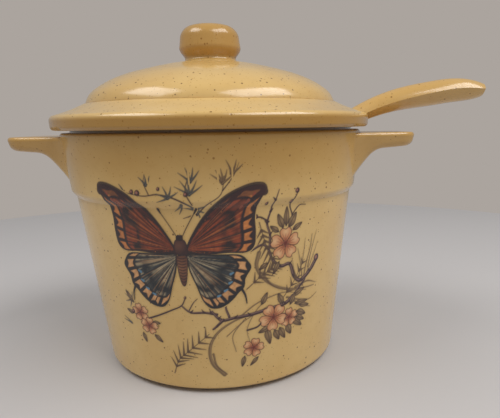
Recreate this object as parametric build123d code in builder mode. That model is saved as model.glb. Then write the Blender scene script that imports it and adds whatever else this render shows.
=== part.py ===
"""Lidded soup tureen with a ladle: a round pot with two lug handles, a notched lid and a ladle.

Millimetres, +Z up. The origin is the centre of the foot, on the plane the pot stands on.
The lug handles lie along X, and -Y is the decorated front.
"""
import os
from math import cos, radians, sin

from build123d import *

# Pot: outside
POT_HEIGHT = 168.8          # foot to the top of the rim
BASE_RADIUS = 91.5          # foot of the wall
BASE_ROUND = 2.8
FOOT_INSET = 7.5            # foot ring inside the foot of the wall
FOOT_HEIGHT = 2.8           # the wall starts this far above the table
FOOT_RING_WIDTH = 10.0
FOOT_RECESS = 1.8           # hollow under the floor, inside the foot ring
WALL_FLARE = 9.8            # the wall widens this much up to the ledge
COLLAR_HEIGHT = 37.6        # ledge to rim
LEDGE_RISE = 3.6            # sloped underside of the ledge
LEDGE_WIDTH = 3.0
COLLAR_FLARE = 2.7
RIM_ROUND = 2.0

# Pot: inside
WALL = 6.0
FLOOR = 8.0
FLOOR_ROUND = 14.0
GALLERY_DEPTH = 4.3         # recess in the rim that locates the lid
GALLERY_SHELF = 5.0         # width of the shelf that carries the lid
GALLERY_UNDERCUT = 6.5      # height of the slope under the shelf

# Lug handles, cast in one with the pot
LUG_LENGTH = 36.0           # collar to the end of a lug
LUG_DROP = 2.4              # top of a lug below the rim
LUG_THICKNESS = 8.0         # at the tip
LUG_TIP_WIDTH = 64.0
LUG_ROOT_SHARE = 0.822      # widest part of a lug's outline, as a share of the collar's radius
LUG_ROOT_INSET = 20.0       # the widest point of a lug's outline, inside the collar
LUG_CORNER = 13.0
LUG_ROOT_ROUND = 34.0
LUG_DRAFT = 12.0            # degrees that the edges lean in towards the underside
LUG_EDGE_ROUND = 2.2
LUG_UNDER_ROUND = 5.0
LUG_UNDERSIDE_SLOPE = 4.0   # degrees
LUG_NECK = 17.0             # the underside starts to sweep down this far outside the collar
LUG_SWEEP_OUT = 5.0         # the middle of that sweep, out from the collar ...
LUG_SWEEP_DROP = 8.0        # ... and down
LUG_SWEEP_FOOT = (0.8, 7.0) # its foot, out from the collar and up from the ledge
LUG_ROOT_OVERLAP = 2.4      # how deep the lug's root reaches into the collar

# Lid
LID_OVERHANG = 5.0          # lid rim outside the pot's rim
LID_SEAM = 1.6              # gap between the lid's rim and the pot's rim
LID_RIM_HEIGHT = 8.6
LID_RIM_ROUND = 3.8
LID_RIM_UNDER_ROUND = 2.4
BRIM_WIDTH = 22.6           # rim face in to the step
BRIM_RISE = 7.8             # from the top of the rim face to the step
BRIM_DIP = 0.7              # the brim sinks this far below a straight slope
STEP_WIDTH = 1.3
STEP_DEPTH = 0.7
DOME_HEIGHT = 28.0          # step to the top of the dome
LID_WALL = 5.5
RIM_HOLLOW = 1.6            # the hollow under the brim stops this far below the top of the rim
SEAT_WIDTH = 3.6            # locating ring under the lid
SEAT_CLEARANCE = 0.7        # radial play in the gallery
SEAT_GAP = 0.3              # the lid's seat above the shelf

# Knob, cast in one with the lid
KNOB_NECK_RADIUS = 17.9
KNOB_RADIUS = 21.5
KNOB_TOP_RADIUS = 20.2
KNOB_HEIGHT = 23.2          # dome to the top of the knob
KNOB_TOP_ROUND = 6.9
KNOB_FLARE = 2.0            # foot of the neck where it runs out on the dome
KNOB_NECK_RISE = 1.2
KNOB_WIDEST_RISE = 8.2      # dome to the widest part of the knob

# Ladle
LADLE_ANGLE = -2.0          # degrees from +X, turned a little towards the front
BOWL_RADIUS = 41.0
BOWL_DEPTH = 31.0
BOWL_WALL = 4.2
BOWL_CENTRE = -8.0          # along the ladle's own direction
BOWL_GAP = 0.3              # bowl above the floor of the pot
HANDLE_WIDTH = 23.0
HANDLE_OUT = 91.5           # pot's rim to the end of the handle
HANDLE_REST = 5.6           # centre of the handle above the pot's rim, where it crosses it
HANDLE_SECTIONS = 14
NOTCH_CLEARANCE = 2.0       # each side of the handle
NOTCH_DEPTH = 21.0          # lid rim in to the end of the notch

os.makedirs("parts", exist_ok=True)

foot_radius = BASE_RADIUS - FOOT_INSET
shoulder_radius = BASE_RADIUS + WALL_FLARE              # top of the tapered wall
collar_foot_radius = shoulder_radius + LEDGE_WIDTH
collar_top_radius = collar_foot_radius + COLLAR_FLARE
gallery_radius = collar_top_radius - WALL
shelf_radius = gallery_radius - GALLERY_SHELF
lug_reach = collar_top_radius + LUG_LENGTH
lug_root_width = collar_top_radius * LUG_ROOT_SHARE
lid_radius = collar_top_radius + LID_OVERHANG
step_radius = lid_radius - BRIM_WIDTH
floor_z = FOOT_RECESS + FLOOR
ledge_z = POT_HEIGHT - COLLAR_HEIGHT
shoulder_z = ledge_z - LEDGE_RISE
gallery_z = POT_HEIGHT - GALLERY_DEPTH
lug_top_z = POT_HEIGHT - LUG_DROP
lid_z = POT_HEIGHT + LID_SEAM
lid_rim_top_z = lid_z + LID_RIM_HEIGHT
step_z = lid_rim_top_z + BRIM_RISE
dome_top_z = step_z + DOME_HEIGHT
ladle_direction = Vector(cos(radians(LADLE_ANGLE)), sin(radians(LADLE_ANGLE)))
ladle_plane = Plane(origin=(0, 0, 0), x_dir=ladle_direction, z_dir=ladle_direction.cross(Vector(0, 0, 1)))


def wall_radius(z):
    """Outside radius of the tapered wall at height z."""
    share = (z - FOOT_HEIGHT) / (shoulder_z - FOOT_HEIGHT)
    return BASE_RADIUS + share * (shoulder_radius - BASE_RADIUS)


# ---------------------------------------------------------------- pot
with BuildPart() as pot:
    with BuildSketch(Plane.XZ):
        with BuildLine():
            inner_base = wall_radius(floor_z + FLOOR_ROUND) - WALL
            inner_shoulder = shoulder_radius - WALL
            collar_inside = collar_foot_radius - WALL
            Polyline(
                (0, FOOT_RECESS),
                (foot_radius - FOOT_RING_WIDTH - FOOT_RECESS, FOOT_RECESS),
                (foot_radius - FOOT_RING_WIDTH, 0),
                (foot_radius, 0),
                (foot_radius, FOOT_HEIGHT),
                (wall_radius(FOOT_HEIGHT), FOOT_HEIGHT),
                (shoulder_radius, shoulder_z),
                (collar_foot_radius, ledge_z),
                (collar_top_radius, POT_HEIGHT),
                (gallery_radius, POT_HEIGHT),
                (gallery_radius, gallery_z),
                (shelf_radius, gallery_z),
                (collar_inside, gallery_z - GALLERY_UNDERCUT),
                (collar_inside, ledge_z),
                (inner_shoulder, shoulder_z),
                (inner_base, floor_z),
                (0, floor_z),
                (0, FOOT_RECESS),
            )
        make_face()
    revolve(axis=Axis.Z)

    base_edge = pot.edges().filter_by(GeomType.CIRCLE).filter_by(
        lambda e: abs(e.center().Z - FOOT_HEIGHT) < 0.01 and e.radius > foot_radius + FOOT_INSET / 2)
    fillet(base_edge, BASE_ROUND)
    floor_edge = pot.edges().filter_by(GeomType.CIRCLE).filter_by(
        lambda e: abs(e.center().Z - floor_z) < 0.01 and e.radius > foot_radius / 2)
    fillet(floor_edge, FLOOR_ROUND)
    rim_edges = pot.edges().filter_by(GeomType.CIRCLE).filter_by(
        lambda e: abs(e.center().Z - POT_HEIGHT) < 0.01)
    fillet(rim_edges, RIM_ROUND)
    ledge_edge = pot.edges().filter_by(GeomType.CIRCLE).filter_by(
        lambda e: abs(e.center().Z - ledge_z) < 0.01 and e.radius > collar_foot_radius - 1)
    fillet(ledge_edge, LEDGE_RISE * 0.9)

# One flange all round the collar, whose underside sweeps down to the ledge ...
with BuildPart() as flange:
    with BuildSketch(Plane.XZ):
        with BuildLine():
            root = (collar_foot_radius - LUG_ROOT_OVERLAP, ledge_z - 1)
            reach = lug_reach + LUG_CORNER              # beyond the outline, which cuts it
            slope = sin(radians(LUG_UNDERSIDE_SLOPE))
            tip_z = lug_top_z - LUG_THICKNESS
            neck = collar_top_radius + LUG_NECK
            neck_z = tip_z - slope * (reach - neck)
            Polyline((neck, neck_z), (reach, tip_z), (reach, lug_top_z), (root[0], lug_top_z), root)
            Spline(
                (neck, neck_z),
                (collar_top_radius + LUG_SWEEP_OUT, neck_z - LUG_SWEEP_DROP),
                (collar_foot_radius + LUG_SWEEP_FOOT[0], ledge_z + LUG_SWEEP_FOOT[1]),
                root,
                tangents=[(-1, -slope), (-0.3, -1)],
            )
        make_face()
    revolve(axis=Axis.Z)

# ... cut to the outline of the two lugs, whose sides flow out of the collar
with BuildPart() as lugs:
    with BuildSketch(Plane.XY.offset(lug_top_z)) as lug_outline:
        Circle(collar_foot_radius - 1)
        widest = collar_foot_radius - LUG_ROOT_INSET
        with BuildLine():
            Polyline(
                (-widest, -lug_root_width / 2),
                (widest, -lug_root_width / 2),
                (lug_reach, -LUG_TIP_WIDTH / 2),
                (lug_reach, LUG_TIP_WIDTH / 2),
                (widest, lug_root_width / 2),
                (-widest, lug_root_width / 2),
                (-lug_reach, LUG_TIP_WIDTH / 2),
                (-lug_reach, -LUG_TIP_WIDTH / 2),
                close=True,
            )
        make_face()
        fillet(lug_outline.vertices().filter_by(lambda v: abs(v.X) > lug_reach - 1), LUG_CORNER)
        fillet(lug_outline.vertices().filter_by(
            lambda v: 1 < abs(v.X) < collar_foot_radius), LUG_ROOT_ROUND)
    extrude(amount=-(lug_top_z - ledge_z + 2), taper=LUG_DRAFT)
    add(flange.part, mode=Mode.INTERSECT)
    under_edges = lugs.edges().filter_by(
        lambda e: e.center().Z < lug_top_z - 1 and abs(e.center().X) > collar_foot_radius + 1)
    fillet(under_edges, LUG_UNDER_ROUND)

with pot:
    add(lugs.part)
    lug_edges = pot.edges().filter_by(
        lambda e: abs(e.center().Z - lug_top_z) < 0.01 and abs(e.center().X) > collar_top_radius)
    fillet(lug_edges, LUG_EDGE_ROUND)
pot.part.label = "pot"
export_step(pot.part, "parts/pot.step")

# ---------------------------------------------------------------- lid with its knob
with BuildPart() as lid:
    with BuildSketch(Plane.XZ):
        with BuildLine():
            seat_out = gallery_radius - SEAT_CLEARANCE
            seat_in = seat_out - SEAT_WIDTH
            seat_z = gallery_z + SEAT_GAP
            dome_radius = step_radius - STEP_WIDTH
            knob_foot_radius = KNOB_NECK_RADIUS + KNOB_FLARE
            knob_top_z = dome_top_z + KNOB_HEIGHT
            crown_radius = step_radius * 0.3            # the ceiling is nearly flat out to here
            crown_z = dome_top_z - LID_WALL - 1.2
            Polyline(
                (0, dome_top_z - LID_WALL),
                (crown_radius, crown_z),
            )
            Spline(
                (crown_radius, crown_z),
                (dome_radius * 0.76, step_z + DOME_HEIGHT * 0.62 - LID_WALL),
                (dome_radius - LID_WALL, step_z + 1),
                tangents=[(1, -0.16), (0.05, -1)],
            )
            Polyline(
                (dome_radius - LID_WALL, step_z + 1),
                (dome_radius - LID_WALL, step_z - LID_WALL),
                (seat_in, lid_rim_top_z - RIM_HOLLOW),
                (seat_in, seat_z),
                (seat_out, seat_z),
                (seat_out, lid_z),
                (lid_radius, lid_z),
                (lid_radius, lid_rim_top_z),
            )
            ThreePointArc(
                (lid_radius, lid_rim_top_z),
                ((lid_radius + step_radius) / 2, (lid_rim_top_z + step_z) / 2 - BRIM_DIP),
                (step_radius, step_z),
            )
            Line((step_radius, step_z), (dome_radius, step_z - STEP_DEPTH))
            Spline(
                (dome_radius, step_z - STEP_DEPTH),
                (dome_radius * 0.98, step_z + DOME_HEIGHT * 0.13),
                (dome_radius * 0.917, step_z + DOME_HEIGHT * 0.33),
                (dome_radius * 0.76, step_z + DOME_HEIGHT * 0.585),
                (dome_radius * 0.54, step_z + DOME_HEIGHT * 0.785),
                (knob_foot_radius, dome_top_z - 0.8),
                tangents=[(-0.02, 1), (-1, 0.1)],
                tangent_scalars=[0.5, 1],
            )
            Spline(
                (knob_foot_radius, dome_top_z - 0.8),
                (KNOB_NECK_RADIUS, dome_top_z + KNOB_NECK_RISE),
                (KNOB_RADIUS * 0.92, dome_top_z + KNOB_WIDEST_RISE * 0.58),
                (KNOB_RADIUS, dome_top_z + KNOB_WIDEST_RISE),
                tangents=[(-1, 0.1), (0, 1)],
                tangent_scalars=[0.6, 0.6],
            )
            Spline(
                (KNOB_RADIUS, dome_top_z + KNOB_WIDEST_RISE),
                ((KNOB_RADIUS + KNOB_TOP_RADIUS) / 2, knob_top_z - KNOB_TOP_ROUND * 1.6),
                (KNOB_TOP_RADIUS, knob_top_z - KNOB_TOP_ROUND),
                (KNOB_TOP_RADIUS * 0.83, knob_top_z - KNOB_TOP_ROUND * 0.36),
                (KNOB_TOP_RADIUS * 0.45, knob_top_z - KNOB_TOP_ROUND * 0.06),
                (0, knob_top_z),
                tangents=[(0, 1), (-1, 0)],
                tangent_scalars=[0.6, 1],
            )
            Line((0, knob_top_z), (0, dome_top_z - LID_WALL))
        make_face()
    revolve(axis=Axis.Z)

    def lid_edge(radius, z):
        """The round edges of the lid at this radius and height."""
        return lid.edges().filter_by(GeomType.CIRCLE).filter_by(
            lambda e: abs(e.center().Z - z) < 0.01 and abs(e.radius - radius) < 0.01)

    fillet(lid_edge(lid_radius, lid_rim_top_z), LID_RIM_ROUND)
    fillet(lid_edge(lid_radius, lid_z), LID_RIM_UNDER_ROUND)
    fillet(lid_edge(step_radius, step_z), STEP_DEPTH * 0.6)

    # Open slot through the rim for the ladle's handle
    with BuildSketch(Plane(origin=(0, 0, seat_z - 1), x_dir=ladle_direction, z_dir=(0, 0, 1))):
        notch_width = HANDLE_WIDTH + 2 * NOTCH_CLEARANCE
        with Locations((lid_radius - NOTCH_DEPTH + notch_width / 2, 0)):
            Circle(notch_width / 2)
            Rectangle(lid_radius, notch_width, align=(Align.MIN, Align.CENTER))
    extrude(amount=dome_top_z - seat_z, mode=Mode.SUBTRACT)
lid.part.label = "lid"
export_step(lid.part, "parts/lid.step")

# ---------------------------------------------------------------- ladle
bowl_z = floor_z + BOWL_GAP                     # underside of the bowl
bowl_rim_z = bowl_z + BOWL_DEPTH
bowl_edge = BOWL_CENTRE + BOWL_RADIUS
rim_rest_z = POT_HEIGHT + HANDLE_REST           # centre of the handle where it crosses the pot's rim

# The handle's line in the ladle's own plane: up the bowl's side, over the rim and out past the lug
handle_points = [
    (bowl_edge - 8, bowl_z + 9),
    (bowl_edge + 1, bowl_rim_z + 2),
    (bowl_edge + 9, bowl_rim_z + 34),
    (bowl_edge + 29, bowl_rim_z + 84),
    (shelf_radius - 14, rim_rest_z - 14),
    (gallery_radius, rim_rest_z),
    (gallery_radius + 28, rim_rest_z + 11.4),
    (gallery_radius + 55, rim_rest_z + 17.4),
    (gallery_radius + HANDLE_OUT, rim_rest_z + 19.6),
]
# Along the line: share of its length, width, rise above the side ridges, depth below them
handle_sizes = [
    (0.0, 13.0, 3.0, 3.0),
    (0.12, 14.0, 3.6, 3.6),
    (0.5, 17.0, 5.2, 4.0),
    (0.66, 21.0, 7.2, 4.2),
    (0.77, 23.0, 8.6, 6.2),
    (0.88, 23.5, 8.0, 8.6),
    (0.95, 22.5, 6.8, 8.4),
    (0.98, 20.0, 5.4, 6.8),
    (1.0, 16.0, 3.8, 4.8),
]
handle_shares = [n / HANDLE_SECTIONS for n in range(HANDLE_SECTIONS)] + [0.985, 1.0]


def handle_size(share):
    """Width, rise and depth of the handle at this share of its length."""
    for low, high in zip(handle_sizes, handle_sizes[1:]):
        if share <= high[0]:
            blend = (share - low[0]) / (high[0] - low[0])
            return [a + blend * (b - a) for a, b in zip(low[1:], high[1:])]


bowl_plane = Plane(origin=ladle_direction * BOWL_CENTRE, x_dir=ladle_direction, z_dir=ladle_plane.z_dir)


def filled_bowl(inset):
    """A solid of the bowl's outside, drawn in by inset."""
    radius = BOWL_RADIUS - inset
    bottom = bowl_z + inset
    with BuildPart() as filled:
        with BuildSketch(bowl_plane):
            with BuildLine():
                Polyline((radius, bowl_rim_z), (0, bowl_rim_z), (0, bottom), (radius * 0.3, bottom))
                Spline(
                    (radius * 0.3, bottom),
                    (radius * 0.83, bottom + (bowl_rim_z - bottom) * 0.36),
                    (radius, bowl_rim_z),
                    tangents=[(1, 0), (0.12, 1)],
                )
            make_face()
        revolve(axis=Axis(bowl_plane.origin, (0, 0, 1)))
    return filled.part


with BuildPart() as bowl:
    add(filled_bowl(0))
    add(filled_bowl(BOWL_WALL), mode=Mode.SUBTRACT)
    fillet(bowl.faces().sort_by(Axis.Z)[-1].edges(), BOWL_WALL * 0.4)

with BuildPart() as ladle:
    with BuildLine(ladle_plane) as handle_line:
        Spline(*handle_points, tangents=[(0.5, 1), (1, -0.06)])
    for share in handle_shares:
        width, rise, depth = handle_size(share)
        section_plane = Plane(
            origin=handle_line.line @ share,
            x_dir=-ladle_plane.z_dir,
            z_dir=handle_line.line % share,
        )
        with BuildSketch(section_plane):
            with BuildLine():
                ThreePointArc((-width / 2, 0), (0, rise), (width / 2, 0))
                ThreePointArc((width / 2, 0), (0, -depth), (-width / 2, 0))
            make_face()
    loft()
    add(filled_bowl(BOWL_WALL / 2), mode=Mode.SUBTRACT)
    add(bowl.part)
ladle.part.label = "ladle"
export_step(ladle.part, "parts/ladle.step")
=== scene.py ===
"""Glazes, prints and sets out a lidded ceramic soup tureen with a ladle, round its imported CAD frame.

Metres, +Z up, the origin at the centre of the foot, -Y the printed front.
"""

import math

import bpy
import numpy as np
from mathutils import Matrix, Vector
from mathutils.bvhtree import BVHTree


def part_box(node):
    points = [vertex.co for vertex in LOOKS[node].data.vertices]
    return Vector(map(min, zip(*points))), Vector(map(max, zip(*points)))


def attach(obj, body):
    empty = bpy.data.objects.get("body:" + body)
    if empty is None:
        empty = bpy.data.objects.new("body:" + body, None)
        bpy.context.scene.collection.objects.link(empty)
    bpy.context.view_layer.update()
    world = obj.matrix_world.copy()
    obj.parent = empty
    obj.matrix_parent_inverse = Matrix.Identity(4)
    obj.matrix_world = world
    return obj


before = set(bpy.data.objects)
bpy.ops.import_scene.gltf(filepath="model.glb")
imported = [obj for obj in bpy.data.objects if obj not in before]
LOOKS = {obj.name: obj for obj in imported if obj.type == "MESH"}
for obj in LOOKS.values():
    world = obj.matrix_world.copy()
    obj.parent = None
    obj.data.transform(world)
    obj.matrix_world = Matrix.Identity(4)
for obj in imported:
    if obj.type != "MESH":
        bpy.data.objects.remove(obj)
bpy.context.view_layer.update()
LID_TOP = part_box("lid")[1].z
MM = 0.001

bl_info = {
    "name": "Soup tureen",
    "version": (1, 0, 0),
    "blender": (4, 5, 0),
    "location": "View3D > Sidebar > Tureen",
    "description": "Glazes, prints and sets out a lidded ceramic soup tureen with a ladle",
    "category": "Object",
}


# ---------------------------------------------------------------- small helpers
def linear(hex_code):
    """Linear RGBA of an sRGB hex colour such as '#D8B888'."""
    channels = [int(hex_code[i:i + 2], 16) / 255 for i in (1, 3, 5)]
    return [c / 12.92 if c <= 0.04045 else ((c + 0.055) / 1.055) ** 2.4 for c in channels] + [1.0]


def add_node(tree, kind, settings=None, links=None):
    """Adds a node, sets its properties, and gives each input in links a value or another node's output."""
    made = tree.nodes.new(kind)
    for name, value in (settings or {}).items():
        setattr(made, name, value)
    for key, value in (links or {}).items():
        if isinstance(value, bpy.types.NodeSocket):
            tree.links.new(value, made.inputs[key])
        else:
            made.inputs[key].default_value = value
    return made


def empty_material(name):
    """A node material with nothing in it yet."""
    material = bpy.data.materials.new(name)
    material.use_nodes = True
    material.node_tree.nodes.clear()
    return material, material.node_tree


def add_piece(name, verts, faces, material):
    """A mesh object at the origin with its place in its vertices, shaded smooth."""
    mesh = bpy.data.meshes.new(name)
    mesh.from_pydata(verts, [], faces)
    mesh.materials.append(material)
    mesh.shade_smooth()
    piece = bpy.data.objects.new(name, mesh)
    bpy.context.scene.collection.objects.link(piece)
    return piece


# ---------------------------------------------------------------- sizes and colours a user would change
class TureenGlaze(bpy.types.PropertyGroup):
    body: bpy.props.StringProperty(name="Glaze", description="Colour of the sand glaze", default="#DAB470")
    pale: bpy.props.StringProperty(name="Pale glaze", description="Where the glaze lies thick", default="#E0BD7B")
    # Deep glaze: real in the random thin mottle and under the small specks, and also the colour that the painted shade
    # bands darken towards
    deep: bpy.props.StringProperty(
        name="Deep glaze", description="Where the glaze thins over the clay", default="#A67524")
    iron: bpy.props.StringProperty(name="Iron speck", description="Colour of the iron specks", default="#5A3416")
    speck_spacing: bpy.props.FloatProperty(
        name="Speck spacing", description="Between the larger specks", default=3.4 * MM, subtype="DISTANCE")
    speck_size: bpy.props.FloatProperty(
        name="Speck size", description="Across a larger speck", default=1.15 * MM, subtype="DISTANCE")
    gloss: bpy.props.FloatProperty(
        name="Roughness", description="Roughness of the fired glaze", default=0.2, subtype="FACTOR")


class TureenPrint(bpy.types.PropertyGroup):
    pitch: bpy.props.FloatProperty(
        name="Print pitch", description="Spacing of the colour points in the print", default=0.4 * MM,
        subtype="DISTANCE")
    film: bpy.props.FloatProperty(
        name="Film", description="Height of the fired print over the glaze", default=0.06 * MM, subtype="DISTANCE")


class TureenStage(bpy.types.PropertyGroup):
    table: bpy.props.StringProperty(name="Table", description="Colour of the floor", default="#C8C6C7")
    backdrop: bpy.props.StringProperty(name="Backdrop", description="Colour behind the object", default="#ABA49E")
    table_radius: bpy.props.FloatProperty(
        name="Table radius", description="Centre to the table's edge", default=0.75, subtype="DISTANCE")
    left_power: bpy.props.FloatProperty(
        name="Left light", description="Power of the left light", default=5.6, unit="POWER")
    right_power: bpy.props.FloatProperty(
        name="Right light", description="Power of the right light", default=10.0, unit="POWER")
    sky: bpy.props.FloatProperty(name="Sky", description="Strength of the light from all round", default=0.34)


def glazes():
    """The scene's glaze sizes and colours."""
    return bpy.context.scene.tureen_glaze


# ---------------------------------------------------------------- glaze
CLOUD_WIDTH = 45 * MM      # patches where the dipped glaze lies thicker or thinner
MOTTLE_WIDTH = 6 * MM      # finer mottle inside them
WAVE_LENGTH = 14 * MM      # slow waves of the fired surface
WAVE_HEIGHT = 0.16 * MM
DIMPLE_DEPTH = 0.03 * MM   # at each large speck
FINE_SPACING, FINE_SIZE = 0.47, 0.55   # of the small specks, as shares of the large ones'
# Painted shade at the foot: a darker, drier band with a wandering upper edge, where the foot ring lies in shadow under
# the wall
FOOT_SHADE_LINE = (2.6 * MM, 2.2 * MM)      # the dark brown is full below the second height and gone above the first
FOOT_SHADE_WANDER = 1.2 * MM
FOOT_SHADE_BROWN = "#8A6B4A"
# Painted shade: heights between which the glaze is darkened towards its deep colour, and by how much
# painted shade on the pot's collar, lugs and rim, under the lid's overhang
POT_SHADE = [(128 * MM, 160 * MM, 0.5)]
# painted shade on the top of the ladle's handle
LADLE_SHADE = [(170 * MM, 188 * MM, 0.3)]
# painted shade on the lid's rim face, and on the knob from its neck up
LID_SHADE = [(179 * MM, 176 * MM, 0.75), (211 * MM, 218 * MM, 0.6)]
SMOOTH = {"interpolation_type": "SMOOTHSTEP"}
COLOURS = {"data_type": "RGBA"}


def specks(tree, place, spacing, size, share):
    """Round specks in a random share of cells: 1 in a speck and 0 outside."""
    cells = add_node(tree, "ShaderNodeTexVoronoi", None, {"Vector": place, "Scale": 1 / spacing})
    chance = add_node(tree, "ShaderNodeSeparateColor", None, {"Color": cells.outputs["Color"]}).outputs
    spread = add_node(tree, "ShaderNodeMath", {"operation": "ADD"}, {0: chance[1], 1: 0.45}).outputs[0]
    radius = add_node(tree, "ShaderNodeMath", {"operation": "MULTIPLY"}, {
        0: spread, 1: 0.5 * size / spacing}).outputs[0]
    near = add_node(tree, "ShaderNodeMath", {"operation": "DIVIDE"}, {
        0: cells.outputs["Distance"], 1: radius}).outputs[0]
    dot = add_node(tree, "ShaderNodeMapRange", SMOOTH, {
        "Value": near, "From Min": 1.0, "From Max": 0.55}).outputs[0]
    chosen = add_node(tree, "ShaderNodeMath", {"operation": "LESS_THAN"}, {0: chance[0], 1: share}).outputs[0]
    return add_node(tree, "ShaderNodeMath", {"operation": "MULTIPLY"}, {0: dot, 1: chosen}).outputs[0]


def stoneware_glaze(name, density, foot=False, ink=False, shade=()):
    """Glossy sand glaze over stoneware, dipped and fired, with iron specks that bleed through it.

    It gives the eye a warm cream skin with soft highlights, small brown freckles and browner thin places. Bands given
    in shade darken it towards its deep colour as painted shade, and foot adds a darker, drier band of painted shade at
    the foot.
    """
    sizes = glazes()
    material, tree = empty_material(name)
    place = add_node(tree, "ShaderNodeTexCoord").outputs["Object"]
    deep = linear(sizes.deep)

    clouds = add_node(tree, "ShaderNodeTexNoise", None, {
        "Vector": place, "Scale": 1 / CLOUD_WIDTH, "Detail": 3.0, "Roughness": 0.5}).outputs["Fac"]
    mottle = add_node(tree, "ShaderNodeTexNoise", None, {
        "Vector": place, "Scale": 1 / MOTTLE_WIDTH, "Detail": 4.0, "Roughness": 0.6}).outputs["Fac"]
    thick = add_node(tree, "ShaderNodeMapRange", SMOOTH, {
        "Value": clouds, "From Min": 0.3, "From Max": 0.7}).outputs[0]
    colour = add_node(tree, "ShaderNodeMix", COLOURS, {
        0: thick, 6: linear(sizes.body), 7: linear(sizes.pale)}).outputs[2]
    thin = add_node(tree, "ShaderNodeMapRange", SMOOTH, {
        "Value": mottle, "From Min": 0.45, "From Max": 0.85, "To Max": 0.16}).outputs[0]
    colour = add_node(tree, "ShaderNodeMix", COLOURS, {0: thin, 6: colour, 7: deep}).outputs[2]

    large = specks(tree, place, sizes.speck_spacing, sizes.speck_size, density)
    small = specks(tree, place, sizes.speck_spacing * FINE_SPACING, sizes.speck_size * FINE_SIZE, density * 0.8)
    for dots, strength, tint in ((small, 0.8, deep), (large, 0.82, linear(sizes.iron))):
        amount = add_node(tree, "ShaderNodeMath", {"operation": "MULTIPLY"}, {0: dots, 1: strength}).outputs[0]
        colour = add_node(tree, "ShaderNodeMix", COLOURS, {0: amount, 6: colour, 7: tint}).outputs[2]

    height = add_node(tree, "ShaderNodeSeparateXYZ", None, {0: place}).outputs["Z"]
    # Painted shade: each band darkens the glaze towards its deep colour between two heights (the step bead takes its
    # full deep colour this way)
    for low, high, most in shade:
        amount = add_node(tree, "ShaderNodeMapRange", SMOOTH, {
            "Value": height, "From Min": low, "From Max": high, "To Max": most}).outputs[0]
        colour = add_node(tree, "ShaderNodeMix", COLOURS, {0: amount, 6: colour, 7: deep}).outputs[2]
    if ink:
        # Fired print: each point of the film carries its own ink colour and how much of it there is
        film = add_node(tree, "ShaderNodeAttribute", {"attribute_name": "ink"}).outputs
        colour = add_node(tree, "ShaderNodeMix", COLOURS, {0: film["Alpha"], 6: colour, 7: film["Color"]}).outputs[2]
    rough = add_node(tree, "ShaderNodeMapRange", SMOOTH, {
        "Value": mottle, "From Min": 0.3, "From Max": 0.7,
        "To Min": sizes.gloss - 0.03, "To Max": sizes.gloss + 0.05}).outputs[0]
    if foot:
        # Painted shade at the foot: below the wandering line the colour turns dark brown and the surface drier, where
        # the foot ring lies in shadow under the wall
        wander = add_node(tree, "ShaderNodeMath", {"operation": "MULTIPLY"}, {
            0: mottle, 1: FOOT_SHADE_WANDER}).outputs[0]
        line = add_node(tree, "ShaderNodeMath", {"operation": "ADD"}, {0: height, 1: wander}).outputs[0]
        foot_shade = add_node(tree, "ShaderNodeMapRange", SMOOTH, {
            "Value": line, "From Min": FOOT_SHADE_LINE[0], "From Max": FOOT_SHADE_LINE[1]}).outputs[0]
        colour = add_node(tree, "ShaderNodeMix", COLOURS, {0: foot_shade, 6: colour, 7: linear(FOOT_SHADE_BROWN)}).outputs[2]
        dry = add_node(tree, "ShaderNodeMath", {"operation": "MULTIPLY"}, {0: foot_shade, 1: 0.75}).outputs[0]
        rough = add_node(tree, "ShaderNodeMath", {"operation": "MAXIMUM"}, {0: rough, 1: dry}).outputs[0]

    waves = add_node(tree, "ShaderNodeTexNoise", None, {
        "Vector": place, "Scale": 1 / WAVE_LENGTH, "Detail": 2.0, "Roughness": 0.5}).outputs["Fac"]
    swell = add_node(tree, "ShaderNodeMath", {"operation": "MULTIPLY"}, {0: waves, 1: WAVE_HEIGHT}).outputs[0]
    dimples = add_node(tree, "ShaderNodeMath", {"operation": "MULTIPLY"}, {0: large, 1: DIMPLE_DEPTH}).outputs[0]
    relief = add_node(tree, "ShaderNodeMath", {"operation": "SUBTRACT"}, {0: swell, 1: dimples}).outputs[0]
    bump = add_node(tree, "ShaderNodeBump", None, {"Strength": 0.6, "Distance": 1.0, "Height": relief})
    shader = add_node(tree, "ShaderNodeBsdfPrincipled", None, {
        "Base Color": colour, "Roughness": rough, "IOR": 1.52, "Normal": bump.outputs[0],
        "Coat Weight": 0.3, "Coat Roughness": 0.1})
    add_node(tree, "ShaderNodeOutputMaterial", None, {"Surface": shader.outputs[0]})
    return material


def glaze_node(name, material):
    """Gives a CAD node its finish."""
    piece = LOOKS[name]
    piece.data.materials.clear()
    piece.data.materials.append(material)


class TUREEN_OT_pot(bpy.types.Operator):
    """Pot with its two lug handles: sand glaze, browner towards the rim with painted shade, and a darker band of
    painted shade at the foot
    """
    bl_idname = "tureen.pot"
    bl_label = "Glaze the pot"

    def execute(self, context):
        glaze_node("pot", stoneware_glaze("sand_glaze_pot", 0.42, foot=True, shade=POT_SHADE))
        return {"FINISHED"}


class TUREEN_OT_lid(bpy.types.Operator):
    """Lid with its knob: sand glaze, browner on the knob and round the rim with painted shade"""
    bl_idname = "tureen.lid"
    bl_label = "Glaze the lid"

    def execute(self, context):
        glaze_node("lid", stoneware_glaze("sand_glaze_lid", 0.75, shade=LID_SHADE))
        return {"FINISHED"}


class TUREEN_OT_ladle(bpy.types.Operator):
    """Ladle: sand glaze all over, with painted shade a little browner towards the top of its handle"""
    bl_idname = "tureen.ladle"
    bl_label = "Glaze the ladle"

    def execute(self, context):
        glaze_node("ladle", stoneware_glaze("sand_glaze_ladle", 0.6, shade=LADLE_SHADE))
        return {"FINISHED"}


# Place of the lid's step, round the axis and below the top of the knob, and the bead that lies in it
STEP_LINE_RADIUS = 88.9 * MM
STEP_BELOW_KNOB = 51.3 * MM
BEAD_THICKNESS = 0.42 * MM
BEAD_WAVE, BEAD_WAVE_LENGTH = 0.9 * MM, 9 * MM
BEAD_POINTS, BEAD_SIDES = 360, 8


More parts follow.
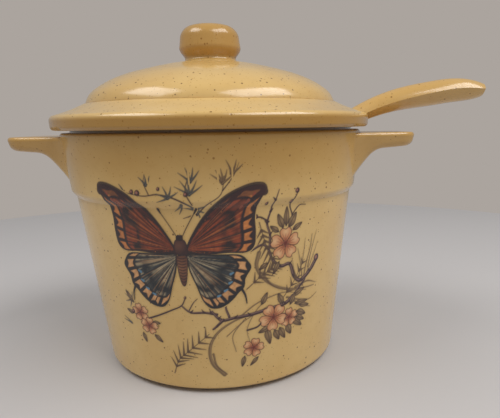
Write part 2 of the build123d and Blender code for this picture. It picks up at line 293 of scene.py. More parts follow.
class TUREEN_OT_step_line(bpy.types.Operator):
    """Wavering hairline of deeper glaze that pools in the step where the lid's dome meets its brim"""
    bl_idname = "tureen.step_line"
    bl_label = "Run the step line"

    def execute(self, context):
        material = stoneware_glaze("pooled_glaze_step", 0.0, shade=[(0.0, 1 * MM, 1.0)])
        tree = bpy.data.node_groups.new("wavering_bead", "GeometryNodeTree")
        face = tree.interface
        face.new_socket("Geometry", in_out="OUTPUT", socket_type="NodeSocketGeometry")
        values = {"Radius": STEP_LINE_RADIUS, "Height": LID_TOP - STEP_BELOW_KNOB, "Thickness": BEAD_THICKNESS,
                  "Wave": BEAD_WAVE, "Wave Length": BEAD_WAVE_LENGTH}
        sockets = {}
        for name in values:
            sockets[name] = face.new_socket(name, in_out="INPUT", socket_type="NodeSocketFloat")
        given = add_node(tree, "NodeGroupInput").outputs
        ring = add_node(tree, "GeometryNodeCurvePrimitiveCircle", None, {
            "Resolution": BEAD_POINTS, "Radius": given["Radius"]})
        here = add_node(tree, "GeometryNodeInputPosition").outputs[0]
        pitch = add_node(tree, "ShaderNodeMath", {"operation": "DIVIDE"}, {0: 1.0, 1: given["Wave Length"]})
        drift = add_node(tree, "ShaderNodeTexNoise", None, {"Vector": here, "Scale": pitch.outputs[0], "Detail": 2.0})
        swing = add_node(tree, "ShaderNodeMath", {"operation": "SUBTRACT"}, {0: drift.outputs["Fac"], 1: 0.5})
        rise = add_node(tree, "ShaderNodeMath", {"operation": "MULTIPLY_ADD"}, {
            0: swing.outputs[0], 1: given["Wave"], 2: given["Height"]})
        lift = add_node(tree, "ShaderNodeCombineXYZ", None, {"Z": rise.outputs[0]})
        line = add_node(tree, "GeometryNodeSetPosition", None, {"Geometry": ring.outputs[0], "Offset": lift.outputs[0]})
        half = add_node(tree, "ShaderNodeMath", {"operation": "MULTIPLY"}, {0: given["Thickness"], 1: 0.5})
        round_bead = add_node(tree, "GeometryNodeCurvePrimitiveCircle", None, {
            "Resolution": BEAD_SIDES, "Radius": half.outputs[0]})
        bead = add_node(tree, "GeometryNodeCurveToMesh", None, {
            "Curve": line.outputs[0], "Profile Curve": round_bead.outputs[0]})
        smooth = add_node(tree, "GeometryNodeSetShadeSmooth", None, {"Geometry": bead.outputs[0]})
        real = add_node(tree, "GeometryNodeRealizeInstances", None, {"Geometry": smooth.outputs[0]})
        finished = add_node(tree, "GeometryNodeSetMaterial", None, {"Geometry": real.outputs[0], "Material": material})
        add_node(tree, "NodeGroupOutput", None, {"Geometry": finished.outputs[0]})
        holder = add_piece("step_line_maker", [(0, 0, 0)], [], material)
        modifier = holder.modifiers.new("bead", "NODES")
        modifier.node_group = tree
        for name, value in values.items():
            modifier[sockets[name].identifier] = value
        context.view_layer.update()
        mesh = bpy.data.meshes.new_from_object(holder.evaluated_get(context.evaluated_depsgraph_get()))
        holder.modifiers.remove(modifier)
        bpy.data.objects.remove(holder)
        if not mesh.polygons:
            raise RuntimeError("the step line came out empty")
        mesh.name = "lid_step_line"
        piece = bpy.data.objects.new("lid_step_line", mesh)
        context.scene.collection.objects.link(piece)
        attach(piece, "lid")
        return {"FINISHED"}


# ---------------------------------------------------------------- print
SHEET_RADIUS = 100           # mm, at which a sheet's u is measured round the pot
PRINT_MIDDLE = 10.7          # mm of u from -Y round to u = 0
BRANCH_SHEET = ((-78, 78), (12, 158))      # u and z of a sheet's edges, in mm
BUTTERFLY_SHEET = ((-76, 30), (60, 144))
FAINTEST_INK = 0.02          # thinner ink than this gets no film
OUTSIDE_POT = 0.2            # m from the axis, clear of the pot's front
CLOUD_CELLS = 128            # the random grid behind cloud() repeats after this many features


class Sheet:
    """A print sheet laid round the pot's front: u runs round it, z up it, in mm."""

    def __init__(self, u_range, z_range, pitch):
        self.u = np.arange(u_range[0], u_range[1], pitch)
        self.z = np.arange(z_range[0], z_range[1], pitch)
        self.ink = np.zeros((len(self.z), len(self.u), 4))
        self.pitch = pitch

    def window(self, low, high, margin):
        """Slices of the sheet round a box, and the places of their points."""
        i = slice(*np.searchsorted(self.z, (low[1] - margin, high[1] + margin)))
        j = slice(*np.searchsorted(self.u, (low[0] - margin, high[0] + margin)))
        return i, j, np.stack(np.meshgrid(self.u[j], self.z[i]), -1)

    def lay(self, i, j, cover, ink):
        """Lays ink over what is there, where cover runs from 0 to 1."""
        old = self.ink[i, j]
        total = cover + old[..., 3] * (1 - cover)
        share = np.where(total > 0, cover / np.maximum(total, 1e-6), 0)[..., None]
        old[..., :3] = old[..., :3] * (1 - share) + np.asarray(ink)[..., :3] * share
        old[..., 3] = total

    def stroke(self, points, start, end, ink, strength=1.0):
        """A tapered pen stroke along a smooth line."""
        line = smooth_line(points)
        i, j, spots = self.window(line.min(0), line.max(0), max(start, end))
        if spots.size == 0:
            return
        a, b = line[:-1], line[1:]
        step = b - a
        along = ((spots[..., None, :] - a) * step).sum(-1) / np.maximum((step ** 2).sum(-1), 1e-9)
        along = np.clip(along, 0, 1)
        gap = np.linalg.norm(spots[..., None, :] - a - along[..., None] * step, axis=-1)
        share = (np.arange(len(a)) + along) / len(a)
        half = (start + (end - start) * share) / 2
        cover = np.clip((half - gap) / self.pitch + 0.5, 0, 1) * np.clip(half / self.pitch * 2, 0, 1)
        self.lay(i, j, cover.max(-1) * strength, ink)

    def shape(self, points, ink, edge=None, edge_width=0.5, strength=1.0, light=None):
        """A filled smooth outline, darker or lighter to one side, with a drawn edge."""
        line = smooth_line(points, closed=True)
        i, j, spots = self.window(line.min(0), line.max(0), 1.0)
        if spots.size == 0:
            return
        cover = inside(spots, line)
        ink = np.asarray(ink)[None, None, :3].repeat(spots.shape[0], 0).repeat(spots.shape[1], 1)
        if light is not None:
            middle, reach = line.mean(0), np.ptp(line, axis=0).max() / 2
            glow = np.clip(1 - np.linalg.norm(spots - middle - np.array(light[0]) * reach, axis=-1) / reach, 0, 1)
            ink = ink * (1 - glow[..., None]) + np.asarray(light[1])[:3] * glow[..., None]
        self.lay(i, j, cover * strength, ink)
        if edge is not None:
            self.stroke(np.vstack([points, points[:1]]), edge_width, edge_width, edge)


def smooth_line(points, closed=False, parts=6):
    """Points along a smooth curve through the given ones."""
    p = np.asarray(points, float)
    if closed:
        p = np.vstack([p[-1:], p, p[:2]])
    else:
        p = np.vstack([2 * p[0] - p[1], p, 2 * p[-1] - p[-2]])
    t = np.linspace(0, 1, parts, endpoint=False)[:, None]
    rows = [0.5 * (2 * b + (c - a) * t + (2 * a - 5 * b + 4 * c - d) * t ** 2 + (3 * b - a - 3 * c + d) * t ** 3)
            for a, b, c, d in zip(p, p[1:], p[2:], p[3:])]
    return np.vstack(rows + [p[-2:-1]])


def inside(spots, line):
    """1 for the spots inside a closed line and 0 for those outside."""
    x, y = spots[..., 0], spots[..., 1]
    crossed = np.zeros(x.shape, bool)
    for (xa, ya), (xb, yb) in zip(line, np.roll(line, -1, 0)):
        if ya != yb:
            crossed ^= ((ya > y) != (yb > y)) & (x < (xb - xa) * (y - ya) / (yb - ya) + xa)
    return crossed.astype(float)


def cloud(spots, size, seed):
    """Smooth random values from 0 to 1, with features of this size in mm."""
    rng = np.random.default_rng(seed)
    grid = rng.random((CLOUD_CELLS, CLOUD_CELLS))
    x, y = spots[..., 0] / size + 31.7, spots[..., 1] / size + 17.3
    i, j = np.floor(y).astype(int), np.floor(x).astype(int)
    f, g = y - i, x - j
    f, g = f * f * (3 - 2 * f), g * g * (3 - 2 * g)
    i, j, i_next, j_next = (k % CLOUD_CELLS for k in (i, j, i + 1, j + 1))
    near, far = (grid[i, k] * (1 - f) + grid[i_next, k] * f for k in (j, j_next))
    return near * (1 - g) + far * g


def ink_of(hex_code):
    """Linear RGB of an ink's sRGB hex colour."""
    return np.array(linear(hex_code)[:3])


def lay_on_pot(sheet, name, film):
    """Makes the inked part of a sheet a thin skin on the pot, with the ink as a colour on its points."""
    pot = LOOKS["pot"].data
    pot.calc_loop_triangles()
    tree = BVHTree.FromPolygons([v.co for v in pot.vertices], [t.vertices for t in pot.loop_triangles])
    radius = []
    for z in sheet.z:
        hit = tree.ray_cast(Vector((0, -OUTSIDE_POT, z * MM)), Vector((0, 1, 0)))[0]
        if hit is None:
            raise RuntimeError("the print reaches past the pot")
        radius.append(-hit.y + film)
    radius = np.array(radius)[:, None]
    angle = (sheet.u[None, :] + PRINT_MIDDLE) / SHEET_RADIUS
    place = np.stack([radius * np.sin(angle), -radius * np.cos(angle), np.broadcast_to(
        sheet.z[:, None] * MM, (len(sheet.z), len(sheet.u)))], -1)
    inked = sheet.ink[..., 3] > FAINTEST_INK
    kept = inked[:-1, :-1] | inked[1:, :-1] | inked[:-1, 1:] | inked[1:, 1:]
    index = np.arange(inked.size).reshape(inked.shape)
    quads = np.stack([index[:-1, :-1], index[:-1, 1:], index[1:, 1:], index[1:, :-1]], -1)[kept]
    used, renumbered = np.unique(quads, return_inverse=True)
    piece = add_piece(name, place.reshape(-1, 3)[used].tolist(), renumbered.reshape(-1, 4).tolist(),
                      stoneware_glaze("fired_print_" + name, 0.42, ink=True, shade=POT_SHADE))
    colours = piece.data.color_attributes.new("ink", "FLOAT_COLOR", "POINT")
    colours.data.foreach_set("color", sheet.ink.reshape(-1, 4)[used].ravel())
    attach(piece, "pot")


AXIS = -23.5        # the butterfly's body, along u
# Right-hand outlines of the wings: u from the body, and z
FORE_WING = [(3, 102), (7, 110), (16, 123), (28, 134), (40, 139.5), (48, 140), (49.5, 136.5), (46.5, 131), (44.5, 122),
             (45, 112), (44, 104), (39, 100.6), (28, 101), (14, 100.5)]
HIND_WING = [(3, 101), (14, 99.8), (28, 99.4), (36, 98.4), (40.5, 94), (42, 90), (38.5, 84), (37.5, 78), (34, 74.5),
             (31, 71), (27, 67.5), (22, 65), (16, 65), (11.5, 70), (8, 80), (4.5, 90)]
FORE_WING_ROOT, HIND_WING_ROOT = (2, 103), (2, 99)
# Along a wing, from 0 at its root to 1 at its rim
BAND_PLACE, BAND_HALF_WIDTH = 0.62, 0.15
HEM_OVERLAP, HEM_SOFTNESS = 0.02, 0.03
CELL_START, CELL_END, CELL_SCALLOP, CELL_SOFTNESS = 0.035, 0.955, 0.03, 0.02
# Across it, from 0 on a vein to 0.5 between two
CELL_SIDE, CELL_SIDE_SOFTNESS = 0.13, 0.06
VEIN_HALF_WIDTH, VEIN_SOFTNESS = 0.55, 0.35      # mm
# Features of the scales' colours, in mm: patches of the band, and the fine grain over all
PATCH_SIZE, GRAIN_SIZE = 5, 1.3
# Base, streaks and band across a wing, the cells in its hem, and the hem itself
FORE_WING_INKS = ("#93401F", "#4A1D12", "#2A1414", "#C67A3E", "#2C1A1C")
HIND_WING_INKS = ("#33383B", "#B8A684", "#1E2226", "#CC9763", "#1E1A1E")


def wing(sheet, side, outline, root, inks, veins, cell_from, seed):
    """One wing: veins fan out from its root to a dark hem with a row of coloured cells."""
    base, streak, band, cell, dark = (ink_of(code) for code in inks)
    line = smooth_line(outline, closed=True)
    line = np.stack([AXIS + side * line[:, 0], line[:, 1]], -1)
    i, j, spots = sheet.window(line.min(0), line.max(0), 1.0)
    cover = inside(spots, line)
    arm = spots - np.array([AXIS + side * root[0], root[1]])
    reach, turn = np.hypot(arm[..., 0], arm[..., 1]), np.arctan2(arm[..., 1], side * arm[..., 0])
    rim = line - np.array([AXIS + side * root[0], root[1]])
    rim_reach, rim_turn = np.hypot(*rim.T), np.arctan2(rim[:, 1], side * rim[:, 0])
    order = np.argsort(rim_turn)
    share = reach / np.interp(turn, rim_turn[order], rim_reach[order])
    low, high = rim_turn.min(), rim_turn.max()
    fan = (turn - low) / (high - low) * veins
    blur = cloud(spots, PATCH_SIZE, seed)
    hair = cloud(np.stack([fan * 7, share * 2.2], -1), 1, seed + 1)
    across = np.abs(fan - np.round(fan))                       # 0 on a vein and 0.5 between two
    ink = base + (streak - base) * np.clip(hair * 1.7 - 0.45 - share * 0.25, 0, 1)[..., None]
    mid = np.clip(1 - np.abs(share - BAND_PLACE - 0.16 * (blur - 0.5)) / BAND_HALF_WIDTH, 0, 1)
    mid = mid * np.clip(blur * 2.2 - 0.35, 0, 1)
    ink = ink + (band - ink) * np.clip(mid * 1.5, 0, 1)[..., None]
    hem = np.clip((share - cell_from + HEM_OVERLAP) / HEM_SOFTNESS, 0, 1)
    ink = ink + (dark - ink) * hem[..., None]
    cell_end = CELL_END - CELL_SCALLOP * np.cos(2 * np.pi * (fan - 0.5))
    in_cell = np.clip((across - CELL_SIDE) / CELL_SIDE_SOFTNESS, 0, 1)
    in_cell = in_cell * np.clip((share - cell_from - CELL_START) / CELL_SOFTNESS, 0, 1)
    in_cell = in_cell * np.clip((cell_end - share) / CELL_SOFTNESS, 0, 1)
    ink = ink + ((cell * (0.82 + 0.36 * blur[..., None])) - ink) * in_cell[..., None]
    glint = np.clip(cloud(np.stack([fan * 8, share * 1.6], -1), 1, seed + 5) * 3 - 1.9, 0, 1) * (1 - hem)
    ink = ink + (cell - ink) * (glint * 0.5)[..., None]
    vein = np.clip((VEIN_HALF_WIDTH - across * (high - low) / veins * reach) / VEIN_SOFTNESS, 0, 1)
    vein = vein * np.clip(share * 3, 0, 1)
    ink = ink + (dark - ink) * (vein * 0.85)[..., None]
    ink = ink * (0.78 + 0.44 * cloud(spots, GRAIN_SIZE, seed + 2)[..., None])
    sheet.lay(i, j, cover, ink)
    sheet.stroke(np.vstack([line[::6], line[:1]]), 1.0, 1.0, dark)


def butterfly(sheet):
    """A generic butterfly seen from above, wings open, in russet and slate."""
    dark, soot = ink_of("#2C1A1C"), ink_of("#1E1A1E")
    for side in (-1, 1):
        wing(sheet, side, HIND_WING, HIND_WING_ROOT, HIND_WING_INKS, 12, 0.78, 11 + side)
        # A short tail below the hind wing, and blue dots near its hem
        sheet.stroke([(AXIS + side * 36, 77), (AXIS + side * 38.5, 72), (AXIS + side * 39.5, 66.5)], 2.0, 0.9, soot)
        for reach, z in ((29.5, 87), (28.5, 81), (25.5, 76), (21, 72.5)):
            sheet.stroke([(AXIS + side * reach, z), (AXIS + side * (reach + 1.6), z + 0.8)], 1.6, 1.0,
                         ink_of("#5E86A0"))
        wing(sheet, side, FORE_WING, FORE_WING_ROOT, FORE_WING_INKS, 10, 0.8, 31 + side)
        # Dark front edge and shoulder patch of the fore wing
        edge = [(AXIS + side * u, z) for u, z in FORE_WING[:7]]
        sheet.stroke(edge, 1.2, 4.6, dark, 0.92)
        sheet.stroke([(AXIS + side * u, z - 2.6) for u, z in FORE_WING[2:6]], 1.2, 6.5, ink_of("#3C1D1E"), 0.7)
        for reach, z, size in ((44, 136, 1.4), (40.5, 132, 1.8), (37, 128.5, 1.6)):
            sheet.stroke([(AXIS + side * reach, z), (AXIS + side * (reach - 1.2), z - 1.4)], size, size * 0.6,
                         ink_of("#8E4630"))
        # Feelers, with a small club at the end
        sheet.stroke([(AXIS + side * 1.2, 110), (AXIS + side * 5, 117), (AXIS + side * 10.5, 126)], 0.6, 0.6, dark)
        sheet.stroke([(AXIS + side * 10, 125), (AXIS + side * 11.2, 127.4)], 0.9, 1.7, dark)
    # Ringed body
    sheet.shape([(AXIS - 3.2, 99), (AXIS - 2.9, 90), (AXIS - 1.6, 82), (AXIS, 79.6), (AXIS + 1.6, 82), (AXIS + 2.9, 90),
                 (AXIS + 3.2, 99)], ink_of("#5A3426"), dark, 0.6, light=((-0.2, 0.2), ink_of("#8A5A3C")))
    for k in range(9):
        z = 82.5 + k * 1.9
        half = 1.4 + 1.3 * k / 8
        sheet.stroke([(AXIS - half, z + 0.3), (AXIS, z - 0.3), (AXIS + half, z + 0.3)], 0.65, 0.65, dark, 0.9)
    sheet.shape([(AXIS - 3.6, 100), (AXIS - 4.0, 105), (AXIS - 2.4, 109), (AXIS + 2.4, 109), (AXIS + 4.0, 105),
                 (AXIS + 3.6, 100)], ink_of("#3A2020"), dark, 0.6, light=((-0.2, 0.2), ink_of("#6A4030")))
    sheet.shape([(AXIS - 1.9, 109), (AXIS - 1.6, 112), (AXIS + 1.6, 112), (AXIS + 1.9, 109)], dark)


def leaf(sheet, foot, tip, width, ink, light, edge):
    """A pointed leaf with a midrib."""
    a, b = np.array(foot, float), np.array(tip, float)
    side = np.array([-(b - a)[1], (b - a)[0]]) / np.linalg.norm(b - a) * width / 2
    outline = [a, a + (b - a) * 0.28 + side * 0.85, a + (b - a) * 0.6 + side * 0.8, b, a + (b - a) * 0.6 - side * 0.8,
               a + (b - a) * 0.28 - side * 0.85]
    sheet.shape(np.array(outline), ink, edge, 0.45, light=((0.15, 0.2), light))
    sheet.stroke([a, (a + b) / 2 + side * 0.1, b], 0.5, 0.3, edge)


def blossom(sheet, centre, size, turn, flat=1.0):
    """A five-petalled blossom with stamens, in peach."""
    centre = np.array(centre, float)
    edge, blush, heart = ink_of("#4E2A20"), ink_of("#C9804F"), ink_of("#6E2A1C")
    for k in range(5):
        out = math.radians(turn + 72 * k)
        along = np.array([math.cos(out), math.sin(out) * flat])
        across = np.array([-math.sin(out), math.cos(out) * flat])
        petal = [centre + size * (f * along + s * across) for f, s in (
            (0.1, 0.0), (0.35, 0.26), (0.72, 0.4), (0.95, 0.25), (0.9, 0.0), (1.0, -0.2), (0.74, -0.4), (0.35, -0.26))]
        sheet.shape(np.array(petal), blush, edge, 0.5, light=((0.25 * along[0], 0.25 * along[1]), ink_of("#E9BC8A")))
        for s in (-0.14, 0.0, 0.14):
            sheet.stroke([centre + size * 0.15 * along, centre + size * (0.62 * along + s * 1.6 * across)], 0.8, 0.3,
                         ink_of("#96503A"), 0.85)
        sheet.stroke([centre, centre + size * 0.36 * (along * math.cos(0.6) + across * math.sin(0.6))], 0.4, 0.4, heart)
        tip = centre + size * 0.38 * (along * math.cos(0.6) + across * math.sin(0.6))
        sheet.stroke([tip, tip + 0.1 * along], 1.0, 1.0, edge)
    sheet.stroke([centre, centre + 0.2], size * 0.24, size * 0.22, heart)


def branches(sheet):
    """A generic blossom branch with sprigs, grass and fern round the butterfly."""
    bark = ink_of("#3E2629")
    slate, slate_light = ink_of("#43413F"), ink_of("#6E6A60")
    olive, olive_light, edge = ink_of("#5C4430"), ink_of("#9A7C54"), ink_of("#38241F")
    # Long grass and ribbon blades, drawn first so that the branch lies over them
    for points, start, end in (
            ([(24, 99), (22.5, 90), (29, 80), (42, 73), (58, 70), (70, 69.5)], 3.0, 0.6),
            ([(-1, 15), (-9, 24), (-10, 36), (-4, 47), (8, 55), (24, 59)], 3.2, 0.8),
            ([(1, 15), (-6, 22), (-8, 31)], 0.8, 1.8), ([(12, 58), (24, 66), (42, 70), (58, 66)], 1.2, 0.5),
            ([(2, 44), (14, 54), (30, 62)], 0.7, 0.7), ([(8, 32), (6, 44), (14, 55)], 0.5, 0.8),
            ([(58, 72), (60, 86), (63, 97), (64, 106)], 1.6, 0.4), ([(58, 74), (55, 88), (52, 98)], 1.2, 0.4),
            ([(60, 78), (66, 90), (70, 100)], 0.9, 0.3), ([(56, 72), (50, 84), (47, 96)], 0.8, 0.3),
            ([(26, 86), (34, 76), (46, 71), (62, 68)], 1.6, 0.5), ([(52, 72), (62, 74), (72, 71)], 2.2, 0.4),
            ([(54, 78), (57, 92), (58, 104)], 1.0, 0.3), ([(62, 84), (64, 94), (68, 108)], 1.2, 0.3),
            ([(30, 68), (22, 60), (16, 48), (18, 38)], 0.8, 0.4), ([(45, 66), (56, 62), (66, 60), (74, 63)], 1.6, 0.4),
            ([(48, 64), (60, 57), (68, 54)], 1.4, 0.4)):
        sheet.stroke(points, start, end, olive, 0.85)
        sheet.stroke([(u + 0.4, z + 0.5) for u, z in points], start * 0.35, end * 0.3, olive_light, 0.8)
    # Branch and twigs
    for points, start, end in (
            ([(-54, 54), (-44, 58), (-34, 62.5), (-27, 66), (-24, 71)], 1.4, 0.8),
            ([(-27, 66), (-21, 61.5), (-12, 61.5), (-4, 60)], 1.2, 2.0),
            ([(-22, 63), (-19, 68), (-16, 71)], 0.9, 0.5), ([(-8, 61), (-9, 66), (-12, 69)], 0.9, 0.5),
            ([(-7, 62), (-3, 57), (0, 55.5), (8, 57), (18, 58), (30, 60), (44, 62), (50, 66)], 1.8, 3.0),
            ([(0, 56), (-4, 52), (-7, 49.5)], 2.2, 1.4), ([(4, 58), (2, 66), (6, 74)], 1.8, 0.9),
            ([(19, 101), (26, 104), (30, 101), (33, 94), (39, 88.5), (46, 89), (50, 80), (56, 76), (64, 81), (70, 88)],
             1.4, 3.4),
            ([(31, 102), (31, 110), (29, 117), (31, 124), (33, 131), (35, 137)], 2.0, 0.5),
            ([(30, 118), (25, 121), (22, 121)], 1.2, 1.0), ([(44, 113), (46, 120), (44, 127), (47, 134)], 1.2, 0.8),
            ([(46, 121), (51, 126), (56, 126)], 0.9, 0.5), ([(50, 66), (56, 72), (60, 76)], 1.8, 1.6),
            ([(28, 101), (33, 103)], 1.2, 1.0), ([(16, 47), (24, 49), (28, 55)], 1.4, 1.2),
            ([(-12, 124), (-15, 129), (-24, 134), (-33, 136), (-42, 135), (-56, 137)], 1.3, 0.5),
            ([(-14, 130), (-17, 138), (-14, 148)], 0.9, 0.4), ([(-12, 124), (-6, 130), (2, 136), (4, 146)], 0.8, 0.4),
            ([(-38, 136), (-40, 142), (-39, 147)], 0.7, 0.3), ([(-14, 124), (-20, 122)], 0.8, 0.4),
            ([(3, 138), (9, 146), (12, 153)], 0.7, 0.3)):
        sheet.stroke(points, start, end, bark)
        if max(start, end) > 1.5:
            sheet.stroke([(u - 0.3, z + 0.4) for u, z in points], start * 0.3, end * 0.3, ink_of("#8A6A60"), 0.8)
            for n, (u, z) in enumerate(points[1:-1]):
                sheet.stroke([(u, z), (u + (-1) ** n * 1.6, z + 1.8)], 1.6, 0.5, bark)
    # Slender leaves of the upper sprigs: foot, direction in degrees, length
    for u, z, ways, size in (
            (-15, 136, (150, 120, 95, 60, 35), 9), (-14, 143, (140, 105, 75, 50), 8),
            (-13, 127, (170, 140, 20, -20, -60), 7), (-27, 134, (200, 160, 110, 70, 30), 7),
            (-39, 141, (130, 90, 60), 6), (-54, 137, (160, 120, 200), 5),
            (3, 142, (140, 115, 95, 70, 40), 8), (8, 147, (110, 70, 40), 8), (-20, 130, (220, 250), 6),
            (-66, 66, (150, 110, 70, 200, 250), 6), (-70, 48, (170, 150), 8)):
        ink, light = (slate, slate_light) if u < 0 else (olive, olive_light)
        for way in ways:
            tip = (u + size * math.cos(math.radians(way)), z + size * math.sin(math.radians(way)))
            sheet.stroke([(u, z), ((u + tip[0]) / 2 + 0.4, (z + tip[1]) / 2), tip], 1.7, 0.3, ink, 0.95)
            sheet.stroke([(u, z), tip], 0.4, 0.2, light, 0.8)
    # Fern at the bottom and among the grass: leaflets in pairs along a stem
    for stem, size in (
            ([(-38, 15), (-33, 26), (-24, 34), (-10, 46)], 10), ([(24, 118), (27, 108), (31, 97), (36, 86)], 8.5),
            ([(16, 76), (26, 84), (34, 88)], 8), ([(40, 64), (50, 76), (58, 90)], 6)):
        line = smooth_line(stem)
        sheet.stroke(stem, 0.7, 0.5, olive)
        for n in range(3, len(line) - 1, 2):
            ahead = math.degrees(math.atan2(*(line[n + 1] - line[n - 1])[::-1]))
            for side in (-1, 1):
                t = math.radians(ahead + side * 48)
                reach = size * (0.5 + 0.5 * math.sin(math.pi * n / len(line)))
                tip = line[n] + reach * np.array([math.cos(t), math.sin(t)])
                sheet.stroke([line[n], line[n] * 0.5 + tip * 0.5, tip], 1.8, 0.4, olive, 0.95)
    # Broad leaves round the blossoms
    for foot, tip, width in (
            ((40, 113), (36, 122), 4.5), ((44, 113), (49, 122), 5), ((42, 114), (42, 126), 4),
            ((30, 46), (33, 34), 5.5), ((36, 44), (40, 36), 5), ((46, 46), (50, 38), 5.5),
            ((50, 50), (60, 42), 5.5), ((54, 54), (63, 50), 5), ((52, 60), (64, 60), 4),
            ((26, 64), (30, 72), 4), ((50, 66), (60, 70), 4), ((14, 28), (12, 20), 3.5),
            ((24, 26), (18, 20), 3), ((-64, 64), (-70, 72), 3.5), ((-66, 56), (-72, 58), 3),
            ((-50, 43), (-44, 38), 3.5), ((-60, 43), (-58, 36), 3.5), ((32, 47), (24, 44), 4),
            ((40, 45), (45, 36), 5), ((54, 50), (62, 46), 4), ((42, 62), (38, 70), 4.5),
            ((48, 60), (52, 68), 4), ((37, 111), (31, 115), 3.5), ((47, 111), (54, 115), 3.5),
            ((30, 92), (24, 88), 3), ((38, 92), (34, 84), 3.5), ((-50, 52), (-44, 52), 3),
            ((56, 58), (66, 56), 3.5)):
        leaf(sheet, foot, tip, width, olive, olive_light, edge)
    for centre, size, turn, flat in (
            ((47.5, 51), 7.5, 20, 0.9), ((35, 53.5), 10.5, 50, 0.92), ((42, 103), 10.8, 90, 0.95),
            ((20.5, 33.5), 7.8, 75, 0.9), ((-59.5, 58), 7.0, 30, 0.9), ((-53.5, 49), 7.2, 80, 0.85)):
        blossom(sheet, centre, size, turn, flat)
    # Buds at the ends of the twigs
    for u, z, size in (
            (47, 135.5, 3), (44, 129, 2.4), (22, 121.5, 2.6), (-45, 136.5, 3.4), (-48.5, 137, 2.6), (-32, 139, 2),
            (-17, 136, 2.6), (-24, 71.5, 1.8), (70, 89, 5), (-66, 57.5, 3), (28, 129, 2)):
        sheet.stroke([(u, z), (u + 0.2, z + 0.5)], size, size * 0.85, bark)
        sheet.stroke([(u - 0.3, z + 0.3), (u - 0.2, z + 0.5)], size * 0.5, size * 0.4, ink_of("#A5705E"), 0.9)


class TUREEN_OT_blossoms(bpy.types.Operator):
    """Printed blossom branch, leaves and grass on the pot's front"""
    bl_idname = "tureen.blossoms"
    bl_label = "Print the blossom branch"

    def execute(self, context):
        sizes = context.scene.tureen_print
        sheet = Sheet(*BRANCH_SHEET, sizes.pitch / MM)
        branches(sheet)
        lay_on_pot(sheet, "blossom_print", sizes.film)
        return {"FINISHED"}


class TUREEN_OT_butterfly(bpy.types.Operator):
    """Printed butterfly on the pot's front"""
    bl_idname = "tureen.butterfly"
    bl_label = "Print the butterfly"

    def execute(self, context):
        sizes = context.scene.tureen_print
        sheet = Sheet(*BUTTERFLY_SHEET, sizes.pitch / MM)
        butterfly(sheet)
        lay_on_pot(sheet, "butterfly_print", sizes.film * 2)
        return {"FINISHED"}


# ---------------------------------------------------------------- stage
CAMERA_PLACE = (0.039467, -0.366937, 0.172109)
FOCAL, CENTRE_X, CENTRE_Y = 464.841, 266.817, 292.041     # in units of a 500 x 418 frame
YAW, PITCH, ROLL = 0.00506, 0.34488, 0.01427              # radians: left, down, and clockwise
FRAME_WIDTH, FRAME_HEIGHT = 500, 418
SENSOR_WIDTH = 36            # mm
NEAREST_SEEN = 0.01
TABLE_CORNERS = 128
LIGHT_AIM = 0.12             # height that the lights point at
LIGHTS = (  # azimuth from the front towards +X and rise, both in degrees, then distance, width and height in m
    ("left_softbox", -70, 55, 1.25, 0.8, 0.5),
    ("right_softbox", 62, 54, 1.25, 1.1, 0.55),
)


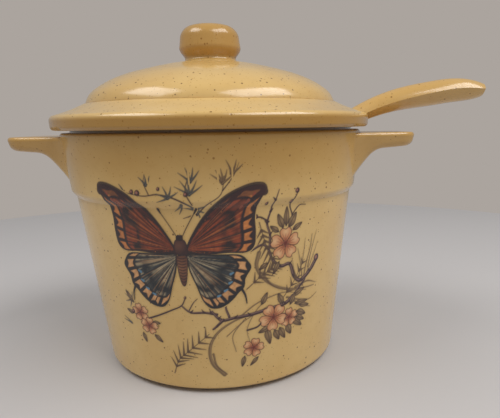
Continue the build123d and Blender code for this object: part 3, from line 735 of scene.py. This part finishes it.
class TUREEN_OT_stage(bpy.types.Operator):
    """Pale table, soft studio light and the camera"""
    bl_idname = "tureen.stage"
    bl_label = "Set the stage"

    def execute(self, context):
        scene = context.scene
        stage = scene.tureen_stage
        # Smooth pale laminate: a flat, even grey with a faint sheen
        material, tree = empty_material("pale_laminate")
        shader = add_node(tree, "ShaderNodeBsdfPrincipled", None, {
            "Base Color": linear(stage.table), "Roughness": 0.5, "IOR": 1.45})
        add_node(tree, "ShaderNodeOutputMaterial", None, {"Surface": shader.outputs[0]})
        rim = [(stage.table_radius * math.cos(2 * math.pi * k / TABLE_CORNERS),
                stage.table_radius * math.sin(2 * math.pi * k / TABLE_CORNERS), 0) for k in range(TABLE_CORNERS)]
        add_piece("table", rim, [list(range(TABLE_CORNERS))], material)
        # The camera sees the backdrop's colour; the object is lit by a plain even sky
        world = bpy.data.worlds.new("studio")
        scene.world = world
        world.use_nodes = True
        world.node_tree.nodes.clear()
        seen = add_node(world.node_tree, "ShaderNodeLightPath")
        sky = add_node(world.node_tree, "ShaderNodeBackground", None, {
            "Color": linear("#F2F0EE"), "Strength": stage.sky})
        back = add_node(world.node_tree, "ShaderNodeBackground", None, {
            "Color": linear(stage.backdrop), "Strength": 1.0})
        direct = add_node(world.node_tree, "ShaderNodeMath", {"operation": "MAXIMUM"}, {
            0: seen.outputs["Is Camera Ray"], 1: seen.outputs["Is Transmission Ray"]})
        both = add_node(world.node_tree, "ShaderNodeMixShader", None, {
            0: direct.outputs[0], 1: sky.outputs[0], 2: back.outputs[0]})
        add_node(world.node_tree, "ShaderNodeOutputWorld", None, {"Surface": both.outputs[0]})
        powers = (stage.left_power, stage.right_power)
        for (name, azimuth, rise, distance, width, height), power in zip(LIGHTS, powers):
            light = bpy.data.lights.new(name, "AREA")
            light.shape = "RECTANGLE"
            light.size, light.size_y = width, height
            light.energy = power
            light.color = linear("#FFFCF8")[:3]
            lamp = bpy.data.objects.new(name, light)
            scene.collection.objects.link(lamp)
            a, e = math.radians(azimuth), math.radians(rise)
            way = Vector((math.sin(a) * math.cos(e), -math.cos(a) * math.cos(e), math.sin(e)))
            lamp.location = way * distance + Vector((0, 0, LIGHT_AIM))
            lamp.rotation_euler = (-way).to_track_quat("-Z", "Y").to_euler()
        camera = bpy.data.cameras.new("camera")
        camera.sensor_width = SENSOR_WIDTH
        camera.lens = FOCAL * SENSOR_WIDTH / FRAME_WIDTH
        camera.shift_x = (FRAME_WIDTH / 2 - CENTRE_X) / FRAME_WIDTH
        camera.shift_y = (CENTRE_Y - FRAME_HEIGHT / 2) / FRAME_WIDTH
        camera.clip_start = NEAREST_SEEN
        holder = bpy.data.objects.new("camera", camera)
        scene.collection.objects.link(holder)
        turn = (Matrix.Rotation(YAW, 3, "Z") @ Matrix.Rotation(math.pi / 2 - PITCH, 3, "X")
                @ Matrix.Rotation(-ROLL, 3, "Z"))
        holder.matrix_world = Matrix.Translation(CAMERA_PLACE) @ turn.to_4x4()
        scene.camera = holder
        scene.view_settings.view_transform = "Standard"
        return {"FINISHED"}


class TUREEN_PT_panel(bpy.types.Panel):
    """The tureen's pieces, in the order they are made"""
    bl_idname = "TUREEN_PT_panel"
    bl_label = "Soup tureen"
    bl_space_type = "VIEW_3D"
    bl_region_type = "UI"
    bl_category = "Tureen"

    def draw(self, context):
        for group in ("tureen_glaze", "tureen_print", "tureen_stage"):
            owner = getattr(context.scene, group)
            for name in owner.__annotations__:
                self.layout.prop(owner, name)
        for operator in OPERATORS:
            self.layout.operator(operator.bl_idname)


OPERATORS = (TUREEN_OT_pot, TUREEN_OT_lid, TUREEN_OT_ladle, TUREEN_OT_step_line, TUREEN_OT_blossoms,
             TUREEN_OT_butterfly, TUREEN_OT_stage)
GROUPS = (("tureen_glaze", TureenGlaze), ("tureen_print", TureenPrint), ("tureen_stage", TureenStage))


def register():
    for _, group in GROUPS:
        bpy.utils.register_class(group)
    for made in OPERATORS + (TUREEN_PT_panel,):
        bpy.utils.register_class(made)
    for name, group in GROUPS:
        setattr(bpy.types.Scene, name, bpy.props.PointerProperty(type=group))


def unregister():
    for name, _ in GROUPS:
        delattr(bpy.types.Scene, name)
    for made in (TUREEN_PT_panel,) + OPERATORS[::-1]:
        bpy.utils.unregister_class(made)
    for _, group in GROUPS[::-1]:
        bpy.utils.unregister_class(group)


def main():
    """Makes every piece in order."""
    register()
    bpy.ops.tureen.pot()
    bpy.ops.tureen.lid()
    bpy.ops.tureen.ladle()
    bpy.ops.tureen.step_line()
    bpy.ops.tureen.blossoms()
    bpy.ops.tureen.butterfly()
    bpy.ops.tureen.stage()


if __name__ == "__main__":
    main()
